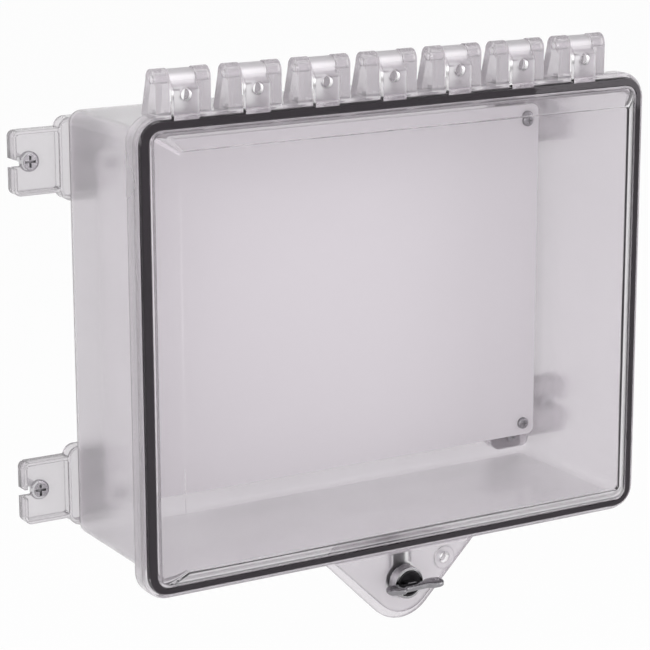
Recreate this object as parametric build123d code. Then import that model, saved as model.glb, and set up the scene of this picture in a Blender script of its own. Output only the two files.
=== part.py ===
from build123d import *
import math
import os

# Clear wall enclosure with a hinged door. All sizes in millimetres.
# Frame: wall plane at y = 0, front of the enclosure towards -Y, +Z up,
# origin at the centre of the four wall screws.

# Outlines of the shell
shell_width = 415.7
shell_height = 325.2
shell_depth = 133.4
shell_corner = 10.0
shell_rear_round = 7.0
wall = 3.0
flange_lip_side = 10.15
flange_lip_end = 12.75
flange_corner = 20.0
flange_face = 4.0
flange_skirt_depth = 14.0
flange_skirt_wall = 3.0
flange_edge_round = 1.5

# Door
door_back_gap = 0.5
door_rim_inset = 3.0
door_rim_thick = 4.0
pan_margin_side = 5.75
pan_margin_end = 5.45
pan_base_corner = 9.0
pan_bevel_side = 17.5
pan_bevel_end = 14.2
pan_face_corner = 3.5
pan_rise = 13.7
pan_edge_round = 1.2
pan_wall = 3.0

# Seal
seal_inset = 1.5
seal_corner = 14.5
seal_band = 6.0
seal_depth = 2.5

# Back plate and its screws
plate_gap_side = 11.85
plate_gap_end = 23.6
plate_thick = 3.0
plate_corner = 6.0
plate_stand_off = 24.4
plate_screw_inset_side = 11.0
plate_screw_inset_end = 10.0
plate_screw_shank = 2.4
plate_screw_head = 4.8
plate_screw_head_rise = 3.0
plate_screw_bite = 16.0
standoff_radius = 6.5

# Shared by all screws and cuts
hole_play = 0.2
thread_play = 0.02
head_dome = 0.62
recess_span = 1.15
recess_width = 0.26
recess_depth = 0.6
cut_past = 1.0
joined = 0.5

# Feet on the wall side
foot_depth = 11.6
foot_end_inset = 37.1
foot_base_inset = 35.85
foot_base_overhang = 5.15
foot_base_height = 62.0
foot_base_corner = 9.0
foot_skin = 3.5
foot_rim = 2.6
ear_overhang = 41.65
ear_height = 48.0
ear_corner = 5.0
foot_screw_inset = 17.85
foot_screw_inset_end = 10.0
foot_screw_shank = 1.75
foot_screw_head = 4.0
foot_screw_head_rise = 2.4
foot_screw_bite = 8.0
foot_boss_radius = 5.0

# Wall screws in the open slots of the ears
wall_screw_offset = 26.65
wall_screw_neck = 2.8
wall_screw_shank = 3.0
wall_screw_head = 7.7
wall_screw_head_rise = 3.6
wall_screw_reach = 22.0
ear_slot_play = 0.5

# Hinge row along the top edge
hinge_count = 7
hinge_margin_left = 38.8
hinge_margin_right = 58.8
hinge_width = 43.0
hinge_gap_width = 20.8
hinge_gap_play = 0.6
hinge_axis_back = 7.5
hinge_axis_rise = 23.9
hinge_bump = 7.5
hinge_crown = 3.0
hinge_gusset_depth = 22.0
hinge_web = 2.0
hinge_pin_radius = 3.0
hinge_pin_short = 1.0
hinge_pin_bevel = 0.4
hinge_press_play = 0.02
hinge_run_play = 0.07
tongue_barrel = 5.0
tongue_thick = 4.0
tongue_hole = 4.2
tongue_hole_rise = 13.6
tongue_root = 1.0
tongue_ease = 2.0
tongue_nose = 3.5

# Lock tabs under the bottom edge
lock_drop = 21.65
box_tab_half = 68.0
box_tab_radius = 31.0
box_tab_thick = 4.0
door_tab_half = 62.5
door_tab_radius = 25.0
door_tab_thick = 3.5
tab_overlap = 3.0
tab_root = 1.0
padlock_x = 36.0
padlock_rise = 12.3
padlock_radius = 4.4
padlock_boss = 9.0
padlock_boss_rise = 1.2

# Lock
barrel_radius = 9.5
barrel_play = 0.1
head_base_radius = 12.9
head_front_radius = 12.3
head_rise = 8.0
head_edge_round = 0.6
cup_radius = 10.4
cup_depth = 4.0
lock_length_back = 7.0
nut_flats = 23.0
nut_thick = 5.5
lock_opening_play = 1.2
spindle_radius = 4.0
spindle_play = 0.05
cam_thick = 3.0
cam_width = 14.0
cam_reach = 19.4
cam_eye_radius = 10.5
cam_play = 0.3
cam_hole_play = 0.03
cam_slot_play = 1.0
cam_screw_head = 5.0
cam_screw_head_rise = 3.0
cam_screw_head_round = 1.2
cam_screw_shank = 2.0
cam_screw_length = 8.0
hub_radius = 9.8
hub_play = 0.3
wing_half = 24.5
wing_lobe = 7.5
wing_thick = 5.0
wing_waist = 10.0
wing_neck = 9.0
wing_edge_round = 1.2
wing_run = 0.6

# Sizes that follow from the ones above
flange_width = shell_width + 2 * flange_lip_side
flange_height = shell_height + 2 * flange_lip_end
door_width = flange_width - 2 * door_rim_inset
door_height = flange_height - 2 * door_rim_inset
door_corner = flange_corner - door_rim_inset
pan_base_width = door_width - 2 * pan_margin_side
pan_base_height = door_height - 2 * pan_margin_end
pan_face_width = pan_base_width - 2 * pan_bevel_side
pan_face_height = pan_base_height - 2 * pan_bevel_end
seal_width = door_width - 2 * seal_inset
seal_height = door_height - 2 * seal_inset
plate_width = shell_width - 2 * wall - 2 * plate_gap_side
plate_height = shell_height - 2 * wall - 2 * plate_gap_end
hinge_pitch = (flange_width - hinge_margin_left - hinge_margin_right) / (hinge_count - 1)

# Places that follow
plate_screw_x = plate_width / 2 - plate_screw_inset_side
plate_screw_z = plate_height / 2 - plate_screw_inset_end
foot_z = shell_height / 2 - foot_end_inset
foot_base_inner_x = shell_width / 2 - foot_base_inset
foot_base_outer_x = shell_width / 2 + foot_base_overhang
ear_outer_x = shell_width / 2 + ear_overhang
foot_screw_x = shell_width / 2 - foot_screw_inset
foot_screw_spread = foot_base_height / 2 - foot_screw_inset_end
wall_screw_x = shell_width / 2 + wall_screw_offset
rear_y = -foot_depth
front_y = rear_y - shell_depth
door_back_y = front_y - door_back_gap
door_front_y = door_back_y - door_rim_thick
face_y = door_front_y - pan_rise
floor_y = rear_y - wall
plate_front_y = floor_y - plate_stand_off - plate_thick
hinge_y = front_y + hinge_axis_back
flange_top = flange_height / 2
door_top = door_height / 2
hinge_z = flange_top + hinge_axis_rise
lock_z = -flange_top - lock_drop
padlock_z = lock_z + padlock_rise
door_tab_front_y = door_back_y - door_tab_thick
head_front_y = door_tab_front_y - head_rise
lock_back_y = door_back_y + lock_length_back
nut_corner = nut_flats / math.sqrt(3)
lock_opening = nut_corner + lock_opening_play
cam_front_y = lock_back_y + cam_play
cam_back_y = cam_front_y + cam_thick
hinge_first_x = -flange_width / 2 + hinge_margin_left
hinge_centres = [hinge_first_x + i * hinge_pitch for i in range(hinge_count)]


def facing(y):
    # sketch plane whose x is the row's X and whose y is the row's Z
    return Plane(origin=(0, y, 0), x_dir=(1, 0, 0), z_dir=(0, -1, 0))


def slab(sketch, y_front, y_back):
    return extrude(facing(y_back) * sketch, amount=y_back - y_front)


def rounded(width, height, corner):
    return RectangleRounded(width, height, corner)


def rod(x, z, radius, y_front, y_back):
    return slab(Pos(x, z) * Circle(radius), y_front, y_back)


def side_profile(points, x_low, x_high):
    # closed outline given as (y, z), pushed along X
    outline = [(x_low, y, z) for y, z in points]
    face = make_face(Polyline(*outline, close=True))
    return extrude(face, amount=x_high - x_low, dir=(1, 0, 0))


def x_rod(x_low, x_high, radius, y, z):
    plane = Plane(origin=(x_low, y, z), x_dir=(0, 1, 0), z_dir=(1, 0, 0))
    return extrude(plane * Circle(radius), amount=x_high - x_low)


def cross_recess(x, z, radius, y_front, depth):
    # cross slot that a screwdriver fits
    span = radius * recess_span
    width = radius * recess_width
    slot = Rectangle(span, width) + Rectangle(width, span)
    return slab(Pos(x, z) * slot, y_front - cut_past, y_front + depth)


def domed_head(x, z, radius, y_seat, rise):
    head = rod(x, z, radius, y_seat - rise, y_seat)
    front = head.faces().sort_by(Axis.Y)[0]
    head = fillet(front.edges(), rise * head_dome)
    return head - cross_recess(x, z, radius, y_seat - rise, rise * recess_depth)


def screw(x, z, shank, head, rise, y_seat, reach):
    return domed_head(x, z, head, y_seat, rise) + rod(x, z, shank, y_seat, y_seat + reach)


def tab_outline(half, radius, top_z):
    # triangle with a round lower corner centred on the lock
    dx = half
    dz = top_z - lock_z
    reach = math.hypot(dx, dz)
    lean = math.atan2(dz, dx)
    spread = math.acos(radius / reach)
    angle = lean - spread
    px = radius * math.cos(angle)
    pz = lock_z + radius * math.sin(angle)
    corners = Polygon((-half, top_z), (-px, pz), (px, pz), (half, top_z), align=None)
    outline = corners + Pos(0, lock_z) * Circle(radius)
    above = Pos(0, top_z + radius) * Rectangle(4 * radius, 2 * radius)
    return outline - above


def hinge_span(centre):
    low = centre - hinge_width / 2
    high = centre + hinge_width / 2
    gap_low = centre - hinge_gap_width / 2
    gap_high = centre + hinge_gap_width / 2
    return low, gap_low, gap_high, high


def hinge_cheek(x_low, x_high):
    # upright ear that holds one end of a hinge pin
    foot_z_low = shell_height / 2 - wall / 2
    seat = flange_top - flange_skirt_wall / 2
    skirt_back = front_y + flange_skirt_depth - joined
    points = [
        (front_y, seat),
        (front_y, hinge_z),
        (hinge_y, hinge_z + hinge_crown),
        (hinge_y + hinge_bump, hinge_z),
        (front_y + hinge_gusset_depth, flange_top),
        (front_y + hinge_gusset_depth, foot_z_low),
        (skirt_back, foot_z_low),
        (skirt_back, seat),
    ]
    cheek = side_profile(points, x_low, x_high)
    return cheek + x_rod(x_low, x_high, hinge_bump, hinge_y, hinge_z)


def shell_body():
    body = slab(rounded(shell_width, shell_height, shell_corner), front_y, rear_y)
    back = body.faces().sort_by(Axis.Y)[-1]
    return fillet(back.edges(), shell_rear_round)


def shell_hollow():
    inner_width = shell_width - 2 * wall
    inner_height = shell_height - 2 * wall
    inside = rounded(inner_width, inner_height, shell_corner - wall)
    hollow = slab(inside, front_y - cut_past, floor_y)
    back = hollow.faces().sort_by(Axis.Y)[-1]
    return fillet(back.edges(), shell_rear_round - wall)


def flange_ring():
    # face plate with a skirt that turns back around its edge
    skirt_back_y = front_y + flange_skirt_depth
    ring = slab(rounded(flange_width, flange_height, flange_corner), front_y, skirt_back_y)
    ends = ring.faces().sort_by(Axis.Y)
    ring = fillet(ends[0].edges() + ends[-1].edges(), flange_edge_round)
    inner_width = flange_width - 2 * flange_skirt_wall
    inner_height = flange_height - 2 * flange_skirt_wall
    inner_corner = flange_corner - flange_skirt_wall
    channel = rounded(inner_width, inner_height, inner_corner)
    return ring - slab(channel, front_y + flange_face, skirt_back_y + cut_past)


def hinge_bracket(centre, carrier):
    # two ears joined by a low web, seated on the flange and the top wall
    low, gap_low, gap_high, high = hinge_span(centre)
    skirt_back = front_y + flange_skirt_depth
    seat = flange_top - flange_skirt_wall / 2
    points = [
        (front_y, seat),
        (front_y, flange_top + hinge_web),
        (skirt_back, flange_top + hinge_web),
        (skirt_back, seat),
    ]
    bracket = hinge_cheek(low, gap_low) + hinge_cheek(gap_high, high)
    bracket += side_profile(points, gap_low, gap_high)
    bore = hinge_pin_radius + hinge_press_play
    bracket -= x_rod(low - cut_past, high + cut_past, bore, hinge_y, hinge_z)
    return bracket - carrier


def box_tab():
    top_z = -flange_top + tab_overlap
    tab = slab(tab_outline(box_tab_half, box_tab_radius, top_z), front_y, front_y + box_tab_thick)
    cut_front = front_y - cut_past
    cut_back = front_y + box_tab_thick + cut_past
    cam_half = cam_width / 2 + cam_slot_play
    slot_top = -flange_top - hole_play
    slot_mid = (lock_z + slot_top) / 2
    slot = Pos(0, slot_mid) * Rectangle(2 * cam_half, slot_top - lock_z)
    tab -= slab(slot, cut_front, cut_back)
    tab -= rod(0, lock_z, lock_opening, cut_front, cut_back)
    return tab - rod(padlock_x, padlock_z, padlock_radius, cut_front, cut_back)


def plate_post(sx, sz):
    # post that holds one corner of the back plate off the rear wall
    x = sx * plate_screw_x
    z = sz * plate_screw_z
    back_y = plate_front_y + plate_thick
    post = rod(x, z, standoff_radius, back_y, floor_y)
    bore = plate_screw_shank + thread_play
    return post - rod(x, z, bore, back_y - cut_past, back_y + plate_screw_bite + cut_past)


def foot_screw_holes():
    holes = Part()
    hole = foot_screw_shank + hole_play
    for sx in (-1, 1):
        for sz in (-1, 1):
            for side in (-1, 1):
                x = sx * foot_screw_x
                z = sz * foot_z + side * foot_screw_spread
                holes += rod(x, z, hole, floor_y - cut_past, rear_y + cut_past)
    return holes


def back_box():
    box = shell_body() + flange_ring() - shell_hollow()
    box += box_tab()
    return box - foot_screw_holes()


def mounting_plate():
    back_y = plate_front_y + plate_thick
    plate = slab(rounded(plate_width, plate_height, plate_corner), plate_front_y, back_y)
    hole = plate_screw_shank + hole_play
    for sx in (-1, 1):
        for sz in (-1, 1):
            x = sx * plate_screw_x
            z = sz * plate_screw_z
            plate -= rod(x, z, hole, plate_front_y - cut_past, back_y + cut_past)
    return plate


def plate_screw(sx, sz):
    reach = plate_thick + plate_screw_bite
    return screw(
        sx * plate_screw_x,
        sz * plate_screw_z,
        plate_screw_shank,
        plate_screw_head,
        plate_screw_head_rise,
        plate_front_y,
        reach,
    )


def foot(sx, sz):
    # base cup open to the wall, ear tray open to the front
    base_width = foot_base_outer_x - foot_base_inner_x
    base_x = (foot_base_outer_x + foot_base_inner_x) / 2
    base = slab(Pos(base_x, 0) * rounded(base_width, foot_base_height, foot_base_corner), rear_y, 0)
    cup = rounded(
        base_width - 2 * foot_rim, foot_base_height - 2 * foot_rim, foot_base_corner - foot_rim
    )
    base -= slab(Pos(base_x, 0) * cup, rear_y + foot_skin, cut_past)
    ear_low = foot_base_outer_x - foot_base_corner
    ear_width = ear_outer_x - ear_low
    ear_x = (ear_outer_x + ear_low) / 2
    ear = slab(Pos(ear_x, 0) * rounded(ear_width, ear_height, ear_corner), rear_y, 0)
    tray_low = foot_base_outer_x
    tray_high = ear_outer_x - foot_rim
    tray_x = (tray_low + tray_high) / 2
    tray = rounded(tray_high - tray_low, ear_height - 2 * foot_rim, ear_corner - foot_rim)
    solid = base + (ear - slab(Pos(base_x, 0) * cup, rear_y - cut_past, cut_past))
    solid -= slab(Pos(tray_x, 0) * tray, rear_y - cut_past, -foot_skin)
    for side in (-1, 1):
        z = side * foot_screw_spread
        solid += rod(foot_screw_x, z, foot_boss_radius, rear_y + foot_skin, 0)
    for side in (-1, 1):
        z = side * foot_screw_spread
        bore = foot_screw_shank + thread_play
        solid -= rod(foot_screw_x, z, bore, rear_y - cut_past, rear_y + foot_screw_bite + cut_past)
    slot_half = wall_screw_shank + ear_slot_play
    solid -= rod(wall_screw_x, 0, slot_half, rear_y - cut_past, cut_past)
    slot_width = ear_outer_x + cut_past - wall_screw_x
    slot = Pos(wall_screw_x + slot_width / 2, 0) * Rectangle(slot_width, 2 * slot_half)
    solid -= slab(slot, rear_y - cut_past, cut_past)
    if sx < 0:
        solid = mirror(solid, about=Plane.YZ)
    return Pos(0, 0, sz * foot_z) * solid


def foot_screw(sx, sz, side):
    reach = wall + foot_screw_bite
    return screw(
        sx * foot_screw_x,
        sz * foot_z + side * foot_screw_spread,
        foot_screw_shank,
        foot_screw_head,
        foot_screw_head_rise,
        floor_y,
        reach,
    )


def wall_screw(sx, sz):
    # plain neck through the foot, thread behind the wall plane
    x = sx * wall_screw_x
    z = sz * foot_z
    head = domed_head(x, z, wall_screw_head, -foot_skin, wall_screw_head_rise)
    neck = rod(x, z, wall_screw_neck, -foot_skin, 0)
    return head + neck + rod(x, z, wall_screw_shank, 0, wall_screw_reach)


def hinge_pin(centre):
    low, gap_low, gap_high, high = hinge_span(centre)
    pin = x_rod(low + hinge_pin_short, high - hinge_pin_short, hinge_pin_radius, hinge_y, hinge_z)
    return chamfer(pin.edges(), hinge_pin_bevel)


def tongue(centre):
    # door half of one hinge: a plate that hooks over the pin
    half = hinge_gap_width / 2 - hinge_gap_play
    low = centre - half
    high = centre + half
    plate_back = door_front_y + tongue_thick
    shoulder = hinge_z - tongue_barrel
    points = [
        (door_front_y, door_top - tongue_root),
        (door_front_y, shoulder - tongue_ease),
        (hinge_y - tongue_nose, hinge_z + tongue_nose),
        (hinge_y, hinge_z),
        (hinge_y, shoulder),
        (plate_back + tongue_ease, shoulder),
        (plate_back, shoulder - tongue_ease),
        (plate_back, door_top - tongue_root),
    ]
    piece = side_profile(points, low, high)
    piece += x_rod(low, high, tongue_barrel, hinge_y, hinge_z)
    hole_z = flange_top + tongue_hole_rise
    piece -= rod(centre, hole_z, tongue_hole, door_front_y - cut_past, plate_back + cut_past)
    bore = hinge_pin_radius + hinge_run_play
    return piece - x_rod(low - cut_past, high + cut_past, bore, hinge_y, hinge_z)


def pan_outside():
    base = facing(door_front_y + joined) * rounded(pan_base_width, pan_base_height, pan_base_corner)
    face = facing(face_y) * rounded(pan_face_width, pan_face_height, pan_face_corner)
    pan = loft([base, face])
    front = pan.faces().sort_by(Axis.Y)[0]
    return fillet(front.edges(), pan_edge_round)


def pan_wall_run(bevel):
    # width of the sloping wall, measured across the door
    return pan_wall * math.hypot(pan_rise, bevel) / pan_rise


def pan_inside():
    # hollow that leaves one wall thickness on the face and on the slopes
    side = pan_wall_run(pan_bevel_side)
    end = pan_wall_run(pan_bevel_end)
    base_width = pan_base_width - 2 * side
    base_height = pan_base_height - 2 * end
    base_corner = pan_base_corner - end
    mouth = slab(rounded(base_width, base_height, base_corner), door_front_y, door_back_y + cut_past)
    base = facing(door_front_y) * rounded(base_width, base_height, base_corner)
    face_side = side - pan_wall * pan_bevel_side / pan_rise
    face_end = end - pan_wall * pan_bevel_end / pan_rise
    face_width = pan_face_width - 2 * face_side
    face_height = pan_face_height - 2 * face_end
    face_corner = pan_face_corner - face_end
    face = facing(face_y + pan_wall) * rounded(face_width, face_height, face_corner)
    return mouth + loft([base, face])


def seal_outlines():
    outer = rounded(seal_width, seal_height, seal_corner)
    inner = rounded(
        seal_width - 2 * seal_band, seal_height - 2 * seal_band, seal_corner - seal_band
    )
    return outer, inner


def door_tab():
    top_z = -door_top + tab_root
    outline = tab_outline(door_tab_half, door_tab_radius, top_z)
    tab = slab(outline, door_tab_front_y, door_back_y)
    boss_front_y = door_tab_front_y - padlock_boss_rise
    tab += rod(padlock_x, padlock_z, padlock_boss, boss_front_y, door_tab_front_y)
    cut_front = boss_front_y - cut_past
    cut_back = door_back_y + cut_past
    tab -= rod(0, lock_z, barrel_radius + barrel_play, cut_front, cut_back)
    return tab - rod(padlock_x, padlock_z, padlock_radius, cut_front, cut_back)


def door():
    leaf = slab(rounded(door_width, door_height, door_corner), door_front_y, door_back_y)
    ends = leaf.faces().sort_by(Axis.Y)
    leaf = fillet(ends[0].edges(), flange_edge_round)
    leaf += pan_outside()
    leaf -= pan_inside()
    outer, inner = seal_outlines()
    leaf -= slab(outer - inner, door_back_y - seal_depth, door_back_y + cut_past)
    leaf += door_tab()
    for centre in hinge_centres:
        leaf += tongue(centre)
    return leaf


def door_seal():
    outer, inner = seal_outlines()
    return slab(outer - inner, door_back_y - seal_depth, front_y)


def lock_body():
    # barrel with a flared head that is hollow at the front
    barrel = rod(0, lock_z, barrel_radius, door_tab_front_y, lock_back_y)
    base = facing(door_tab_front_y) * (Pos(0, lock_z) * Circle(head_base_radius))
    front = facing(head_front_y) * (Pos(0, lock_z) * Circle(head_front_radius))
    head = loft([base, front])
    rim = head.faces().sort_by(Axis.Y)[0]
    head = fillet(rim.edges(), head_edge_round)
    cut_front = head_front_y - cut_past
    head -= rod(0, lock_z, cup_radius, cut_front, head_front_y + cup_depth)
    bore = spindle_radius + spindle_play
    return barrel + head - rod(0, lock_z, bore, cut_front, lock_back_y + cut_past)


def lock_nut():
    hexagon = Pos(0, lock_z) * RegularPolygon(nut_corner, 6)
    nut_back_y = door_back_y + nut_thick
    nut = slab(hexagon, door_back_y, nut_back_y)
    bore = barrel_radius + thread_play
    return nut - rod(0, lock_z, bore, door_back_y - cut_past, nut_back_y + cut_past)


def wing_outline():
    # seen from above: two rounded paddles joined by a waist
    lobe_x = wing_half - wing_lobe
    right = Pos(lobe_x, 0) * Circle(wing_lobe)
    left = Pos(-lobe_x, 0) * Circle(wing_lobe)
    return right + left + Rectangle(2 * lobe_x, wing_waist)


def thumb_turn():
    hub_back = head_front_y + cup_depth - hub_play
    hub_front = head_front_y - wing_run
    turn = rod(0, lock_z, hub_radius, hub_front, hub_back)
    turn += rod(0, lock_z, spindle_radius, hub_back, cam_back_y)
    wing_mid_y = hub_front - wing_lobe
    plane = Plane(origin=(0, wing_mid_y, lock_z - wing_thick / 2), x_dir=(1, 0, 0), z_dir=(0, 0, 1))
    wing = extrude(plane * wing_outline(), amount=wing_thick)
    ends = wing.faces().sort_by(Axis.Z)
    wing = fillet(ends[0].edges() + ends[-1].edges(), wing_edge_round)
    neck_depth = wing_lobe + joined
    neck_y = wing_mid_y + neck_depth / 2
    turn += wing + Pos(0, neck_y, lock_z) * Box(wing_neck, neck_depth, wing_thick)
    bore = cam_screw_shank + thread_play
    return turn - rod(0, lock_z, bore, cam_back_y - cam_screw_length, cam_back_y + cut_past)


def lock_cam():
    blade = Pos(0, lock_z + cam_reach / 2) * Rectangle(cam_width, cam_reach)
    outline = blade + Pos(0, lock_z) * Circle(cam_eye_radius)
    cam = slab(outline, cam_front_y, cam_back_y)
    hole = spindle_radius + cam_hole_play
    return cam - rod(0, lock_z, hole, cam_front_y - cut_past, cam_back_y + cut_past)


def cam_screw():
    head = rod(0, lock_z, cam_screw_head, cam_back_y, cam_back_y + cam_screw_head_rise)
    rim = head.faces().sort_by(Axis.Y)[-1]
    head = fillet(rim.edges(), cam_screw_head_round)
    tip_y = cam_back_y - cam_screw_length + joined
    return head + rod(0, lock_z, cam_screw_shank, tip_y, cam_back_y)


def save(name, solid):
    export_step(solid, os.path.join("parts", name + ".step"))


os.makedirs("parts", exist_ok=True)
box = back_box()
save("back_box", box)
save("mounting_plate", mounting_plate())
corners = [
    (-1, 1, "top_left"),
    (1, 1, "top_right"),
    (-1, -1, "bottom_left"),
    (1, -1, "bottom_right"),
]
for sx, sz, corner in corners:
    save("plate_post_" + corner, plate_post(sx, sz))
    save("plate_screw_" + corner, plate_screw(sx, sz))
    save("foot_" + corner, foot(sx, sz))
    save("foot_screw_upper_" + corner, foot_screw(sx, sz, 1))
    save("foot_screw_lower_" + corner, foot_screw(sx, sz, -1))
    save("wall_screw_" + corner, wall_screw(sx, sz))
for i, centre in enumerate(hinge_centres):
    save("hinge_bracket_" + str(i + 1), hinge_bracket(centre, box))
    save("hinge_pin_" + str(i + 1), hinge_pin(centre))
save("door", door())
save("door_seal", door_seal())
save("lock_body", lock_body())
save("lock_nut", lock_nut())
save("thumb_turn", thumb_turn())
save("lock_cam", lock_cam())
save("cam_screw", cam_screw())
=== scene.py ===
import math
import bmesh
import bpy
from mathutils import Matrix, Vector


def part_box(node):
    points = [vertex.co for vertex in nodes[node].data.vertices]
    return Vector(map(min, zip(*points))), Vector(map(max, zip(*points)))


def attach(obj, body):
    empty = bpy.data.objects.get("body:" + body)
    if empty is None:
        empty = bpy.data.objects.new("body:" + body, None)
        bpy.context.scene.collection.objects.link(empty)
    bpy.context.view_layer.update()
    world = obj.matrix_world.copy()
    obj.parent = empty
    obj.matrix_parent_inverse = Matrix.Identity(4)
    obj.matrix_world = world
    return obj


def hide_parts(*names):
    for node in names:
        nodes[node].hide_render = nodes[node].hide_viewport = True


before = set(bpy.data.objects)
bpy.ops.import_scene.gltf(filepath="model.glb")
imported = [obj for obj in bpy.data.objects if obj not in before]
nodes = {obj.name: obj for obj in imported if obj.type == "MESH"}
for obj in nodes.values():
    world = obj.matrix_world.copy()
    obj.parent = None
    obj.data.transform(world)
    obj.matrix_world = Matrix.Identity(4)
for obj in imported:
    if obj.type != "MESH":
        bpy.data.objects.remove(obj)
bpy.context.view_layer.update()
print("frame loaded,", len(nodes), "nodes")


# small helpers for node trees

def addNode(tree, kind, place=(0, 0), **settings):
    node = tree.nodes.new(kind)
    node.location = place
    for key, value in settings.items():
        setattr(node, key, value)
    return node


def feed(tree, source, socket):
    # source is a node with the name or number of its output, or a plain value
    if isinstance(source, tuple) and isinstance(source[0], bpy.types.Node):
        tree.links.new(source[0].outputs[source[1]], socket)
    else:
        socket.default_value = source


def mathNode(tree, operation, place, *parts, clamp=False):
    node = addNode(tree, "ShaderNodeMath", place, operation=operation, use_clamp=clamp)
    for part, socket in zip(parts, node.inputs):
        feed(tree, part, socket)
    return node


# places of the colour sockets on a mix node
mixInputs = (0, 6, 7)
mixOutput = 2


def mixColours(tree, place, share, first, second):
    node = addNode(tree, "ShaderNodeMix", place, data_type="RGBA")
    for part, index in zip((share, first, second), mixInputs):
        feed(tree, part, node.inputs[index])
    return node


def mixShaders(tree, place, share, first, second):
    node = addNode(tree, "ShaderNodeMixShader", place)
    for part, socket in zip((share, (first, 0), (second, 0)), node.inputs):
        feed(tree, part, socket)
    return node


def noiseNode(tree, place, vector, scale, detail, roughness=0.5):
    node = addNode(tree, "ShaderNodeTexNoise", place)
    parts = {"Vector": vector, "Scale": scale, "Detail": detail, "Roughness": roughness}
    for name, part in parts.items():
        feed(tree, part, node.inputs[name])
    return node


def rangeNode(tree, place, value, fromMin, fromMax, toMin=0.0, toMax=1.0):
    node = addNode(tree, "ShaderNodeMapRange", place)
    parts = {"Value": value, "From Min": fromMin, "From Max": fromMax, "To Min": toMin, "To Max": toMax}
    for name, part in parts.items():
        feed(tree, part, node.inputs[name])
    return node


def bumpNode(tree, place, height, strength, distance, invert=False):
    node = addNode(tree, "ShaderNodeBump", place, invert=invert)
    parts = {"Height": height, "Strength": strength, "Distance": distance}
    for name, part in parts.items():
        feed(tree, part, node.inputs[name])
    return node


def startGroup(name, inputs, outputs):
    # inputs go by name and default value, outputs by name and kind
    tree = bpy.data.node_groups.new(name, "ShaderNodeTree")
    for label, default in inputs.items():
        kind = {3: "Vector", 4: "Color"}[len(default)] if isinstance(default, tuple) else "Float"
        socket = tree.interface.new_socket(name=label, in_out="INPUT", socket_type="NodeSocket" + kind)
        socket.default_value = default
    for label, kind in outputs.items():
        tree.interface.new_socket(name=label, in_out="OUTPUT", socket_type="NodeSocket" + kind)
    return tree, addNode(tree, "NodeGroupInput", (-900, 0)), addNode(tree, "NodeGroupOutput", (700, 0))


# shared effects

origin = (0, 0, 0)


def mouldWavesGroup():
    # slow waves that moulded sheet has, as a height
    tree, inn, out = startGroup("mouldWaves", {"Vector": origin, "Scale": 18.0}, {"Height": "Float"})
    noise = noiseNode(tree, (-500, 100), (inn, "Vector"), (inn, "Scale"), detail=1.5, roughness=0.35)
    feed(tree, (noise, "Fac"), out.inputs["Height"])
    return tree


def hairScratchesGroup():
    # thin crossing lines, as a mask
    tree, inn, out = startGroup(
        "hairScratches", {"Vector": origin, "Scale": 40.0, "Amount": 0.3}, {"Mask": "Float"})
    stretch = (1.0, 1.0, 22.0)
    turns = ((0.3, 0.5, 0.9), (-0.6, 0.2, 2.3))
    masks = []
    for i, turn in enumerate(turns):
        down = 200 - 300 * i
        spin = addNode(tree, "ShaderNodeMapping", (-700, down))
        spin.inputs["Rotation"].default_value = turn
        spin.inputs["Scale"].default_value = stretch
        feed(tree, (inn, "Vector"), spin.inputs["Vector"])
        noise = noiseNode(tree, (-480, down), (spin, "Vector"), (inn, "Scale"), detail=2.0)
        masks.append(rangeNode(tree, (-250, down), (noise, "Fac"), fromMin=0.66, fromMax=0.72))
    both = mathNode(tree, "MAXIMUM", (0, 0), (masks[0], "Result"), (masks[1], "Result"))
    some = mathNode(tree, "MULTIPLY", (250, 0), (both, 0), (inn, "Amount"))
    feed(tree, (some, 0), out.inputs["Mask"])
    return tree


def patchyGroup():
    # a value that drifts between two levels, for roughness
    tree, inn, out = startGroup(
        "patchy", {"Vector": origin, "Scale": 12.0, "Low": 0.1, "High": 0.3}, {"Value": "Float"})
    noise = noiseNode(tree, (-500, 0), (inn, "Vector"), (inn, "Scale"), detail=4.0)
    spread = rangeNode(
        tree, (-200, 0), (noise, "Fac"), fromMin=0.32, fromMax=0.68, toMin=(inn, "Low"), toMax=(inn, "High"))
    feed(tree, (spread, "Result"), out.inputs["Value"])
    return tree


def cloudedGroup():
    # one colour drifting into another
    tree, inn, out = startGroup(
        "clouded",
        {"Vector": origin, "Scale": 6.0, "First": (1, 1, 1, 1), "Second": (1, 1, 1, 1)},
        {"Color": "Color"})
    noise = noiseNode(tree, (-500, 0), (inn, "Vector"), (inn, "Scale"), detail=3.0)
    mix = mixColours(tree, (0, 0), (noise, "Fac"), (inn, "First"), (inn, "Second"))
    feed(tree, (mix, mixOutput), out.inputs["Color"])
    return tree


def edgeLineGroup():
    # how near a point is to a corner of its piece, as a mask
    tree, inn, out = startGroup("edgeLine", {"Radius": 0.001, "Reach": 0.2}, {"Mask": "Float"})
    flat = addNode(tree, "ShaderNodeNewGeometry", (-600, -200))
    soft = addNode(tree, "ShaderNodeBevel", (-600, 100), samples=4)
    feed(tree, (inn, "Radius"), soft.inputs["Radius"])
    turned = addNode(tree, "ShaderNodeVectorMath", (-350, 0), operation="DOT_PRODUCT")
    for source, socket in zip((soft, flat), turned.inputs):
        feed(tree, (source, "Normal"), socket)
    away = mathNode(tree, "SUBTRACT", (-100, 0), 1.0, (turned, "Value"))
    spread = mathNode(tree, "DIVIDE", (150, 0), (away, 0), (inn, "Reach"), clamp=True)
    feed(tree, (spread, 0), out.inputs["Mask"])
    return tree


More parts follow.
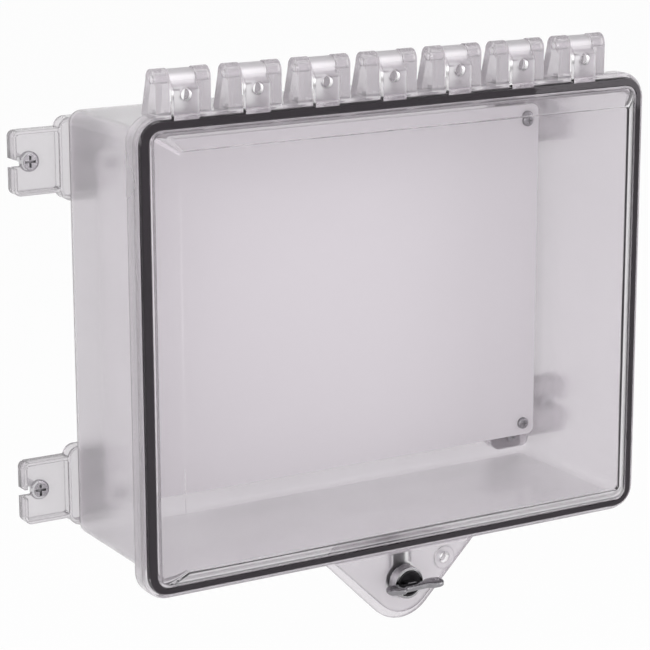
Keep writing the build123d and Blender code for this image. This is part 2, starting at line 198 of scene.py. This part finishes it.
def hollowShadeGroup():
    # painted shade: how deep a point lies in a recess, as a mask
    tree, inn, out = startGroup("hollowShade", {"Distance": 0.006}, {"Mask": "Float"})
    opened = addNode(tree, "ShaderNodeAmbientOcclusion", (-500, 0), samples=8)
    feed(tree, (inn, "Distance"), opened.inputs["Distance"])
    closed = mathNode(tree, "SUBTRACT", (-250, 0), 1.0, (opened, "AO"), clamp=True)
    feed(tree, (closed, 0), out.inputs["Mask"])
    return tree


def outerHazeAndShadeGroup():
    # mask of what stands out past a height or a width, over a ramp of a few millimetres, for haze and painted
    # shade
    tree, inn, out = startGroup("outerHazeAndShade", {"Vector": origin, "Height": 0.17, "Width": 1.0}, {"Mask": "Float"})
    steepness = 400.0
    split = addNode(tree, "ShaderNodeSeparateXYZ", (-600, 0))
    feed(tree, (inn, "Vector"), split.inputs["Vector"])
    past = []
    for axis, limit, down in (("Z", "Height", 0), ("X", "Width", -200)):
        size = mathNode(tree, "ABSOLUTE", (-400, down), (split, axis))
        past.append(mathNode(tree, "SUBTRACT", (-200, down), (size, 0), (inn, limit)))
    either = mathNode(tree, "MAXIMUM", (-50, -100), (past[0], 0), (past[1], 0))
    steep = mathNode(tree, "MULTIPLY", (150, 0), (either, 0), steepness, clamp=True)
    feed(tree, (steep, 0), out.inputs["Mask"])
    return tree


groups = {
    "hollows": hollowShadeGroup(),
    "outer": outerHazeAndShadeGroup(),
    "edges": edgeLineGroup(),
    "waves": mouldWavesGroup(),
    "scratches": hairScratchesGroup(),
    "patchy": patchyGroup(),
    "clouded": cloudedGroup(),
}
print("shared effects built")


def placeGroup(tree, key, place, coords=None, **values):
    node = addNode(tree, "ShaderNodeGroup", place, node_tree=groups[key])
    if coords:
        feed(tree, (coords, "Object"), node.inputs["Vector"])
    for name, value in values.items():
        node.inputs[name].default_value = value
    return node


def startMaterial(name):
    material = bpy.data.materials.new(name)
    material.use_nodes = True
    tree = material.node_tree
    tree.nodes.clear()
    surface = addNode(tree, "ShaderNodeBsdfPrincipled", (300, 0))
    out = addNode(tree, "ShaderNodeOutputMaterial", (900, 0))
    return material, tree, surface, out


def startSurface(name, look):
    # what all finishes of the object share: drifting colour and patchy roughness
    material, tree, surface, out = startMaterial(name)
    coords = addNode(tree, "ShaderNodeTexCoord", (-1100, 0))
    colour = placeGroup(
        tree, "clouded", (-600, 300), coords,
        Scale=look["cloudScale"], First=look["first"], Second=look["second"])
    rough = placeGroup(
        tree, "patchy", (-600, 50), coords,
        Scale=look["roughScale"], Low=look["smooth"], High=look["dull"])
    return material, tree, surface, out, coords, colour, rough


def finishSurface(tree, surface, colour, rough, bump):
    feed(tree, colour, surface.inputs["Base Color"])
    feed(tree, rough, surface.inputs["Roughness"])
    feed(tree, (bump, "Normal"), surface.inputs["Normal"])


# clear plastic: door, box, hinges, feet, pins and sleeves
# "outer" values belong to what lies past outerHeight or outerWidth, here out of reach
plainPlastic = {
    "cloudScale": 5.0, "roughScale": 9.0, "scratchScale": 30.0, "scratchDull": 0.25,
    "edgeReach": 0.3, "bump": 0.5, "glint": (1.0, 0.93, 1.0, 1),
    "outerHeight": 1.0, "outerWidth": 1.0, "outerDull": 0.0, "outerEdgeShade": (1, 1, 1, 1),
    "paintedShadeShare": 0.0, "paintedShadeTone": (1, 1, 1, 1),
}
clearDoor = {
    **plainPlastic,
    "first": (0.92, 0.905, 0.92, 1), "second": (0.88, 0.865, 0.88, 1),
    "edge": (1.0, 1.0, 1.0, 1), "edgeRadius": 0.0022, "shade": (0.93, 0.92, 0.93, 1),
    "through": 1.0, "ior": 1.5, "shine": 0.2, "smooth": 0.01, "dull": 0.03,
    # past the flange top the door's tongues are hazier, with painted shade lines along their edges
    "outerHeight": 0.1735, "outerDull": 0.3, "outerEdgeShade": (0.36, 0.34, 0.36, 1),
    "waves": 14.0, "waveDepth": 0.0006, "scratch": 0.03,
}
hazyBox = {
    **plainPlastic,
    "first": (0.83, 0.805, 0.83, 1), "second": (0.78, 0.755, 0.78, 1),
    "edge": (0.4, 0.38, 0.4, 1), "edgeRadius": 0.002, "shade": (0.7, 0.69, 0.7, 1),
    "through": 0.82, "ior": 1.45, "shine": 0.5, "smooth": 0.16, "dull": 0.26,
    # past outerWidth the box flange rim gets painted shade lines along its edges
    "outerWidth": 0.2152, "outerDull": 0.05, "outerEdgeShade": (0.2, 0.19, 0.2, 1),
    # painted shade over the box flange rim past outerWidth
    "paintedShadeShare": 0.8, "paintedShadeTone": (0.5, 0.48, 0.5, 1),
    "waves": 14.0, "waveDepth": 0.0009, "scratch": 0.0,
}
hazyHinges = {
    **plainPlastic,
    "first": (0.71, 0.685, 0.71, 1), "second": (0.65, 0.625, 0.65, 1),
    "edge": (0.9, 0.89, 0.9, 1), "edgeRadius": 0.001, "shade": (0.86, 0.85, 0.86, 1),
    "through": 0.72, "ior": 1.42, "shine": 0.4, "smooth": 0.14, "dull": 0.24,
    "waves": 40.0, "waveDepth": 0.0004, "scratch": 0.05,
}
hazyFeet = {
    **plainPlastic,
    "first": (0.75, 0.73, 0.75, 1), "second": (0.69, 0.67, 0.69, 1),
    "edge": (0.2, 0.19, 0.2, 1), "edgeRadius": 0.0018, "shade": (0.9, 0.89, 0.9, 1),
    "through": 0.88, "ior": 1.45, "shine": 0.5, "smooth": 0.06, "dull": 0.14,
    "waves": 30.0, "waveDepth": 0.0006, "scratch": 0.03,
}
# painted shade: the tops of the sleeves are darker, from a little above the middle of the pins
pinLow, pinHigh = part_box("hinge_pin_1")
hazySleeves = {
    **plainPlastic,
    "first": (0.97, 0.945, 0.97, 1), "second": (0.93, 0.905, 0.93, 1),
    "edge": (0.7, 0.68, 0.7, 1), "edgeRadius": 0.0008, "shade": (0.9, 0.89, 0.9, 1),
    "through": 0.3, "ior": 1.3, "shine": 0.15, "smooth": 0.35, "dull": 0.45,
    "outerHeight": (pinLow.z + pinHigh.z) / 2 + 0.002,
    "paintedShadeShare": 1.0, "paintedShadeTone": (0.62, 0.6, 0.62, 1),
    "waves": 40.0, "waveDepth": 0.0003, "scratch": 0.03,
}
clearPins = {
    **plainPlastic,
    "first": (0.86, 0.84, 0.86, 1), "second": (0.8, 0.78, 0.8, 1),
    "edge": (0.8, 0.78, 0.8, 1), "edgeRadius": 0.0005, "shade": (0.92, 0.91, 0.92, 1),
    "through": 0.5, "ior": 1.35, "shine": 0.2, "smooth": 0.35, "dull": 0.45,
    "waves": 60.0, "waveDepth": 0.0002, "scratch": 0.0,
}


def clearPlastic(name, look):
    material, tree, surface, out, coords, colour, rough = startSurface(name, look)
    edge = placeGroup(tree, "edges", (-600, 550), Radius=look["edgeRadius"], Reach=look["edgeReach"])
    outer = placeGroup(
        tree, "outer", (-600, -700), coords, Height=look["outerHeight"], Width=look["outerWidth"])
    # painted light and shade along the corners of clear pieces: lighter on the door and hinges, darker on the
    # box, posts, feet, sleeves and pins
    edgeTone = mixColours(tree, (-400, 600), (outer, "Mask"), look["edge"], look["outerEdgeShade"])
    withPaintedEdges = mixColours(tree, (-200, 300), (edge, "Mask"), (colour, "Color"), (edgeTone, mixOutput))
    # painted shade over what lies past the outer limit
    paintedShadeShare = mathNode(tree, "MULTIPLY", (-100, 600), (outer, "Mask"), look["paintedShadeShare"])
    shadePainted = mixColours(tree, (50, 300), (paintedShadeShare, 0), (withPaintedEdges, mixOutput), look["paintedShadeTone"])
    scratch = placeGroup(
        tree, "scratches", (-600, -200), coords, Scale=look["scratchScale"], Amount=look["scratch"])
    dull = mathNode(
        tree, "MULTIPLY_ADD", (-300, 50), (scratch, "Mask"), look["scratchDull"], (rough, "Value"))
    hazed = mathNode(tree, "MULTIPLY_ADD", (-100, 50), (outer, "Mask"), look["outerDull"], (dull, 0))
    waves = placeGroup(tree, "waves", (-600, -450), coords, Scale=look["waves"])
    bump = bumpNode(tree, (0, -400), (waves, "Height"), look["bump"], look["waveDepth"])
    finishSurface(tree, surface, (shadePainted, mixOutput), (hazed, 0), bump)
    surface.inputs["IOR"].default_value = look["ior"]
    surface.inputs["Specular IOR Level"].default_value = look["shine"]
    surface.inputs["Specular Tint"].default_value = look["glint"]
    surface.inputs["Transmission Weight"].default_value = look["through"]
    # lamps and soft light pass straight through
    path = addNode(tree, "ShaderNodeLightPath", (0, 400))
    lighting = mathNode(tree, "MAXIMUM", (200, 400), (path, "Is Shadow Ray"), (path, "Is Diffuse Ray"))
    clear = addNode(tree, "ShaderNodeBsdfTransparent", (300, 200))
    clear.inputs["Color"].default_value = look["shade"]
    mix = mixShaders(tree, (650, 100), (lighting, 0), surface, clear)
    feed(tree, (mix, 0), out.inputs["Surface"])
    return material


# back plate and seal
plateLook = {
    "first": (0.86, 0.835, 0.86, 1), "second": (0.8, 0.775, 0.8, 1), "cloudScale": 3.0,
    "smooth": 0.32, "dull": 0.45, "roughScale": 20.0, "shine": 0.5,
    "grain": 700.0, "bump": 0.25, "grainDepth": 0.0002,
}
sealLook = {
    "first": (0.006, 0.003, 0.006, 1), "second": (0.012, 0.007, 0.012, 1), "cloudScale": 40.0,
    "smooth": 0.45, "dull": 0.62, "roughScale": 60.0, "shine": 0.08,
    "grain": 900.0, "bump": 0.4, "grainDepth": 0.0001,
}


def grainy(name, look):
    # satin enamel or rubber with a fine grain
    material, tree, surface, out, coords, colour, rough = startSurface(name, look)
    grain = placeGroup(tree, "waves", (-600, -300), coords, Scale=look["grain"])
    bump = bumpNode(tree, (0, -300), (grain, "Height"), look["bump"], look["grainDepth"])
    finishSurface(tree, surface, (colour, "Color"), (rough, "Value"), bump)
    surface.inputs["Specular IOR Level"].default_value = look["shine"]
    feed(tree, (surface, 0), out.inputs["Surface"])
    return material


# metals: lock and screws
plainMetal = {
    "cloudScale": 90.0, "roughScale": 120.0, "scratchScale": 160.0, "scratch": 0.5, "scratchDull": 0.3,
    "edgeReach": 0.25, "bump": 0.3, "bumpDepth": 0.0001,
}
# the lock body drifts between bright and near-black chrome: painted reflection streaks
barrelLook = {
    **plainMetal,
    "first": (0.66, 0.65, 0.67, 1), "second": (0.14, 0.135, 0.145, 1),
    "edge": (0.95, 0.95, 0.96, 1), "edgeRadius": 0.0006,
    "hollow": (0.03, 0.03, 0.032, 1), "hollowSpan": 0.006, "smooth": 0.06, "dull": 0.16,
}
chromeLook = {
    **plainMetal,
    "first": (0.36, 0.35, 0.37, 1), "second": (0.18, 0.175, 0.185, 1),
    "edge": (0.8, 0.8, 0.81, 1), "edgeRadius": 0.00035,
    "hollow": (0.015, 0.015, 0.017, 1), "hollowSpan": 0.009, "smooth": 0.08, "dull": 0.2,
}
# near black: painted shade of the recess in the lock's face
recessShadeLook = {
    **plainMetal,
    "first": (0.06, 0.058, 0.062, 1), "second": (0.035, 0.033, 0.036, 1),
    "edge": (0.5, 0.5, 0.51, 1), "edgeRadius": 0.0004,
    "hollow": (0.008, 0.008, 0.009, 1), "hollowSpan": 0.005, "smooth": 0.3, "dull": 0.45,
    "scratch": 0.4,
}
darkSteelLook = {
    **plainMetal,
    "first": (0.14, 0.14, 0.15, 1), "second": (0.08, 0.08, 0.09, 1),
    "edge": (0.4, 0.4, 0.41, 1), "edgeRadius": 0.0004,
    "hollow": (0.02, 0.02, 0.022, 1), "hollowSpan": 0.005, "smooth": 0.28, "dull": 0.45,
    "scratch": 0.4,
}
wallScrewLook = {
    **plainMetal,
    "first": (0.7, 0.69, 0.71, 1), "second": (0.45, 0.44, 0.46, 1),
    "edge": (0.92, 0.92, 0.93, 1), "edgeRadius": 0.0007,
    "hollow": (0.06, 0.06, 0.062, 1), "hollowSpan": 0.005, "smooth": 0.08, "dull": 0.2,
    "scratchScale": 220.0,
}
screwLook = {
    **plainMetal,
    "first": (0.34, 0.335, 0.35, 1), "second": (0.2, 0.195, 0.21, 1),
    "edge": (0.85, 0.85, 0.86, 1), "edgeRadius": 0.0005,
    "hollow": (0.008, 0.008, 0.009, 1), "hollowSpan": 0.004, "smooth": 0.12, "dull": 0.26,
    "scratchScale": 220.0,
}


def metal(name, look):
    material, tree, surface, out, coords, colour, rough = startSurface(name, look)
    scratch = placeGroup(
        tree, "scratches", (-600, -200), coords, Scale=look["scratchScale"], Amount=look["scratch"])
    dull = mathNode(
        tree, "MULTIPLY_ADD", (-300, 50), (scratch, "Mask"), look["scratchDull"], (rough, "Value"))
    bump = bumpNode(tree, (0, -300), (scratch, "Mask"), look["bump"], look["bumpDepth"], invert=True)
    # painted highlight: near the corners of each metal piece the colour turns towards the bright edge colour
    edge = placeGroup(tree, "edges", (-600, 550), Radius=look["edgeRadius"], Reach=look["edgeReach"])
    edgeHighlighted = mixColours(tree, (-200, 300), (edge, "Mask"), (colour, "Color"), look["edge"])
    # painted shade: points deep in recesses darken towards a near-black colour
    hollow = placeGroup(tree, "hollows", (-600, 800), Distance=look["hollowSpan"])
    shaded = mixColours(tree, (0, 300), (hollow, "Mask"), (edgeHighlighted, mixOutput), look["hollow"])
    finishSurface(tree, surface, (shaded, mixOutput), (dull, 0), bump)
    surface.inputs["Metallic"].default_value = 1.0
    feed(tree, (surface, 0), out.inputs["Surface"])
    return material


materials = {
    "back_box": clearPlastic("hazyBox", hazyBox),
    "plate_post": clearPlastic("hazyPosts", hazyBox),
    "door": clearPlastic("clearDoor", clearDoor),
    "hinge_bracket": clearPlastic("hazyHinges", hazyHinges),
    "hinge_pin": clearPlastic("clearPins", clearPins),
    "hingeSleeve": clearPlastic("hazySleeves", hazySleeves),
    "foot": clearPlastic("hazyFeet", hazyFeet),
    "mounting_plate": grainy("plateEnamel", plateLook),
    "door_seal": grainy("sealRubber", sealLook),
    "lock_body": metal("lockChrome", barrelLook),
    "thumb_turn": metal("wingChrome", chromeLook),
    "turnDish": metal("dishSteel", recessShadeLook),
    "lock_nut": metal("nutSteel", darkSteelLook),
    "lock_cam": metal("camSteel", darkSteelLook),
    "cam_screw": metal("camScrewSteel", darkSteelLook),
    "wall_screw": metal("wallScrewSteel", wallScrewLook),
    "plate_screw": metal("plateScrewSteel", screwLook),
    "foot_screw": metal("footScrewSteel", screwLook),
}


def finishOf(name):
    # the longest key that the node's name begins with
    return max((key for key in materials if name.startswith(key)), key=len)


for name, node in nodes.items():
    node.data.materials.clear()
    node.data.materials.append(materials[finishOf(name)])
print("materials on", len(nodes), "nodes")


# thumb turn of the lock: a dish painted near black as the shade of its recess, with a winged grip across it
# sizes in millimetres
perMetre = 1000
turnDish = {
    "turns": 64, "least": 0.02,
    "profile": [
        (0.0, -156.0), (5.2, -155.9), (8.3, -156.3), (8.9, -157.3), (9.3, -157.6),
        (9.7, -157.3), (9.8, -156.6), (9.8, -153.4), (9.5, -153.3),
        (4.0, -153.3), (4.0, -135.3), (3.8, -135.2), (0.0, -135.2),
    ],
}
turnWing = {
    "middleY": -165.1, "half": 24.5, "lobeCentre": 17.0, "lobe": 7.5, "waist": 4.6, "blend": 2.5,
    "thick": 2.2, "thin": 2.5, "stations": 72, "around": 28, "square": 0.62,
    "tip": 0.02, "least": 0.05,
}
turnNeck = {
    "halfWide": 4.5, "halfThick": 2.3, "from": -155.7, "to": -162.5, "around": 28, "square": 0.6,
    "flare": 1.25, "flareEnd": 0.3, "stations": (0.0, 0.12, 0.3, 0.6, 1.0),
}


def ringMesh(name, rings):
    # a closed skin over rings of points, all with the same count
    shape = bmesh.new()
    made = [[shape.verts.new(point) for point in ring] for ring in rings]
    count = len(made[0])
    for low, high in zip(made, made[1:]):
        for i in range(count):
            shape.faces.new((low[i], low[(i + 1) % count], high[(i + 1) % count], high[i]))
    shape.faces.new(made[0][::-1])
    shape.faces.new(made[-1])
    bmesh.ops.recalc_face_normals(shape, faces=shape.faces)
    mesh = bpy.data.meshes.new(name)
    shape.to_mesh(mesh)
    shape.free()
    for face in mesh.polygons:
        face.use_smooth = True
    piece = bpy.data.objects.new(name, mesh)
    bpy.context.scene.collection.objects.link(piece)
    return piece


def evenAngles(count):
    return [2 * math.pi * i / count for i in range(count)]


def ovalPoint(angle, wide, tall, square):
    # a point of a rounded box outline
    c, s = math.cos(angle), math.sin(angle)
    return (math.copysign(abs(c) ** square, c) * wide, math.copysign(abs(s) ** square, s) * tall)


def dishPiece(look, middle):
    rings = []
    for radius, y in look["profile"]:
        radius = max(radius, look["least"])
        rings.append([
            (middle.x + radius / perMetre * math.cos(a), y / perMetre, middle.z + radius / perMetre * math.sin(a))
            for a in evenAngles(look["turns"])])
    return ringMesh("turnDish", rings)


def wingSection(look, along):
    # half width and half thickness of the grip at a distance from its middle
    power, least = look["blend"], look["least"]
    inLobe = look["lobe"] ** 2 - (abs(along) - look["lobeCentre"]) ** 2
    lobe = math.sqrt(inLobe) if inLobe > 0 else 0.0
    waist = look["waist"] if abs(along) < look["lobeCentre"] else 0.0
    wide = (lobe ** power + waist ** power) ** (1 / power)
    wide = max(min(wide, look["lobe"]), least)
    share = min(1.0, abs(along) / look["lobeCentre"])
    tall = look["thick"] + (look["thin"] - look["thick"]) * share
    endRound = math.sqrt(max(0.0, 1 - max(0.0, (abs(along) - (look["half"] - tall)) / tall) ** 2))
    return wide, max(tall * endRound, least)


def wingPiece(look, middle):
    rings = []
    for i in range(look["stations"] + 1):
        # stations crowd towards the ends, where the outline turns
        along = -math.cos(math.pi * i / look["stations"]) * (look["half"] - look["tip"])
        wide, tall = wingSection(look, along)
        outline = [ovalPoint(a, wide, tall, look["square"]) for a in evenAngles(look["around"])]
        rings.append([
            (middle.x + along / perMetre, (look["middleY"] + y) / perMetre, middle.z + z / perMetre)
            for y, z in outline])
    return ringMesh("turnWing", rings)


def neckPiece(look, middle):
    rings = []
    for share in look["stations"]:
        grow = look["flare"] + (1 - look["flare"]) * min(1.0, share / look["flareEnd"])
        y = look["from"] + (look["to"] - look["from"]) * share
        wide, thick = look["halfWide"] * grow, look["halfThick"] * grow
        outline = [ovalPoint(a, wide, thick, look["square"]) for a in evenAngles(look["around"])]
        rings.append([(middle.x + x / perMetre, y / perMetre, middle.z + z / perMetre) for x, z in outline])
    return ringMesh("turnNeck", rings)


lockLow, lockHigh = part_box("lock_body")
lockCentre = (lockLow + lockHigh) / 2
turnPieces = (
    (dishPiece(turnDish, lockCentre), "turnDish"),
    (wingPiece(turnWing, lockCentre), "thumb_turn"),
    (neckPiece(turnNeck, lockCentre), "thumb_turn"),
)
for piece, finish in turnPieces:
    piece.data.materials.append(materials[finish])
    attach(piece, "thumb_turn")
    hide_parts("thumb_turn")
print("thumb turn built")


# knuckles of the door, thick sleeves that fill each hinge between its cheeks
# each profile row is a share of the half length and a share of the radius
hingeSleeve = {
    "radius": 6.8, "round": 0.9, "halfLength": 9.9, "around": 40,
    "bore": 0.4, "shoulder": ((0.97, 0.96), (0.91, 1.0)),
}


def sleevePiece(name, look, centre):
    half = [(1, look["bore"]), (1, 1 - look["round"] / look["radius"]), *look["shoulder"]]
    profile = [(-along, radius) for along, radius in half] + half[::-1]
    rings = []
    for along, radius in profile:
        reach = radius * look["radius"] / perMetre
        rings.append([
            (centre.x + along * look["halfLength"] / perMetre,
             centre.y + reach * math.cos(a), centre.z + reach * math.sin(a))
            for a in evenAngles(look["around"])])
    return ringMesh(name, rings)


pinNames = sorted(name for name in nodes if name.startswith("hinge_pin"))
for number, name in enumerate(pinNames, 1):
    low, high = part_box(name)
    sleeve = sleevePiece("hingeSleeve" + str(number), hingeSleeve, (low + high) / 2)
    sleeve.data.materials.append(materials["hingeSleeve"])
    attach(sleeve, "door")
print("hinge sleeves built,", len(pinNames))


# stage: floor, soft lights, pale surroundings
stageLook = {
    "floorZ": -0.36, "floorSize": 14.0, "floorColour": (0.97, 0.965, 0.97, 1), "floorDull": 0.9,
    "floorGlow": 0.95, "air": 0.54, "white": (1, 1, 1, 1),
}


def seenDirectly(tree):
    # 1 for the rays that show a thing, 0 for those that light by it
    path = addNode(tree, "ShaderNodeLightPath", (-300, 300))
    seen = mathNode(tree, "MAXIMUM", (-100, 300), (path, "Is Camera Ray"), (path, "Is Glossy Ray"))
    return mathNode(tree, "MAXIMUM", (100, 300), (seen, 0), (path, "Is Transmission Ray"))


def studioFloor(look):
    mesh = bpy.data.meshes.new("floor")
    half = look["floorSize"] / 2
    corners = [(-half, -half), (half, -half), (half, half), (-half, half)]
    mesh.from_pydata([(x, y, look["floorZ"]) for x, y in corners], [], [(0, 1, 2, 3)])
    floor = bpy.data.objects.new("floor", mesh)
    bpy.context.scene.collection.objects.link(floor)
    material, tree, surface, out = startMaterial("floorPaper")
    surface.inputs["Base Color"].default_value = look["floorColour"]
    surface.inputs["Roughness"].default_value = look["floorDull"]
    glow = addNode(tree, "ShaderNodeEmission", (300, -250))
    glow.inputs["Color"].default_value = look["white"]
    share = mathNode(tree, "MULTIPLY", (450, 500), (seenDirectly(tree), 0), look["floorGlow"])
    mix = mixShaders(tree, (650, 100), (share, 0), surface, glow)
    feed(tree, (mix, 0), out.inputs["Surface"])
    mesh.materials.append(material)


def paleSurroundings(look):
    world = bpy.data.worlds.new("studioAir")
    bpy.context.scene.world = world
    world.use_nodes = True
    tree = world.node_tree
    tree.nodes.clear()
    out = addNode(tree, "ShaderNodeOutputWorld", (600, 0))
    air = addNode(tree, "ShaderNodeBackground", (200, 100))
    air.inputs["Strength"].default_value = look["air"]
    white = addNode(tree, "ShaderNodeBackground", (200, -100))
    for light in (air, white):
        light.inputs["Color"].default_value = look["white"]
    mix = mixShaders(tree, (400, 0), (seenDirectly(tree), 0), air, white)
    feed(tree, (mix, 0), out.inputs["Surface"])


def softLamp(name, look):
    data = bpy.data.lights.new(name, "AREA")
    data.shape = "RECTANGLE"
    data.size, data.size_y = look["size"]
    data.energy = look["watts"]
    lamp = bpy.data.objects.new(name, data)
    bpy.context.scene.collection.objects.link(lamp)
    lamp.location = look["place"]
    lamp.rotation_mode = "QUATERNION"
    lamp.rotation_quaternion = (Vector(look["aim"]) - Vector(look["place"])).to_track_quat("-Z", "Y")
    lamp.visible_glossy = look["glints"]


studioFloor(stageLook)
paleSurroundings(stageLook)
# the key lamp leaves no glint on the door, as in the photograph
lamps = {
    "keyLamp": {
        "place": (-1.4, -1.3, 0.55), "aim": (0.05, -0.05, 0), "size": (1.3, 1.3),
        "watts": 23, "glints": False,
    },
    "fillLamp": {
        "place": (1.7, -1.3, 0.5), "aim": (0, -0.08, 0), "size": (1.4, 1.4),
        "watts": 9, "glints": True,
    },
    "topLamp": {
        "place": (0.0, -0.1, 1.9), "aim": (0, -0.08, 0), "size": (1.2, 0.8),
        "watts": 3, "glints": True,
    },
}
for name, look in lamps.items():
    softLamp(name, look)
print("stage and lamps set")


# camera, solved from the photograph's edges
cameraFit = {
    "focalPixels": 2474.505, "imagePixels": 650.0, "turn": -30.539, "rise": 13.927, "roll": -0.159,
    "target": (-0.066557, -0.145, 0.010538), "reach": 1.801265,
    "sensor": 36.0, "near": 0.05, "far": 50.0,
}


def photoCamera(fit):
    data = bpy.data.cameras.new("photoCamera")
    data.sensor_width = fit["sensor"]
    data.lens = fit["focalPixels"] / fit["imagePixels"] * data.sensor_width
    data.clip_start, data.clip_end = fit["near"], fit["far"]
    camera = bpy.data.objects.new("photoCamera", data)
    bpy.context.scene.collection.objects.link(camera)
    turn, rise, roll = (math.radians(fit[key]) for key in ("turn", "rise", "roll"))
    back = Vector((math.sin(turn) * math.cos(rise), -math.cos(turn) * math.cos(rise), math.sin(rise)))
    right = (-back).cross(Vector((0, 0, 1))).normalized()
    up = right.cross(-back)
    rightTilted = right * math.cos(roll) + up * math.sin(roll)
    upTilted = up * math.cos(roll) - right * math.sin(roll)
    spin = Matrix((rightTilted, upTilted, back)).transposed()
    camera.matrix_world = Matrix.Translation(Vector(fit["target"]) + back * fit["reach"]) @ spin.to_4x4()
    bpy.context.scene.camera = camera


photoCamera(cameraFit)
bpy.context.scene.view_settings.view_transform = "Standard"
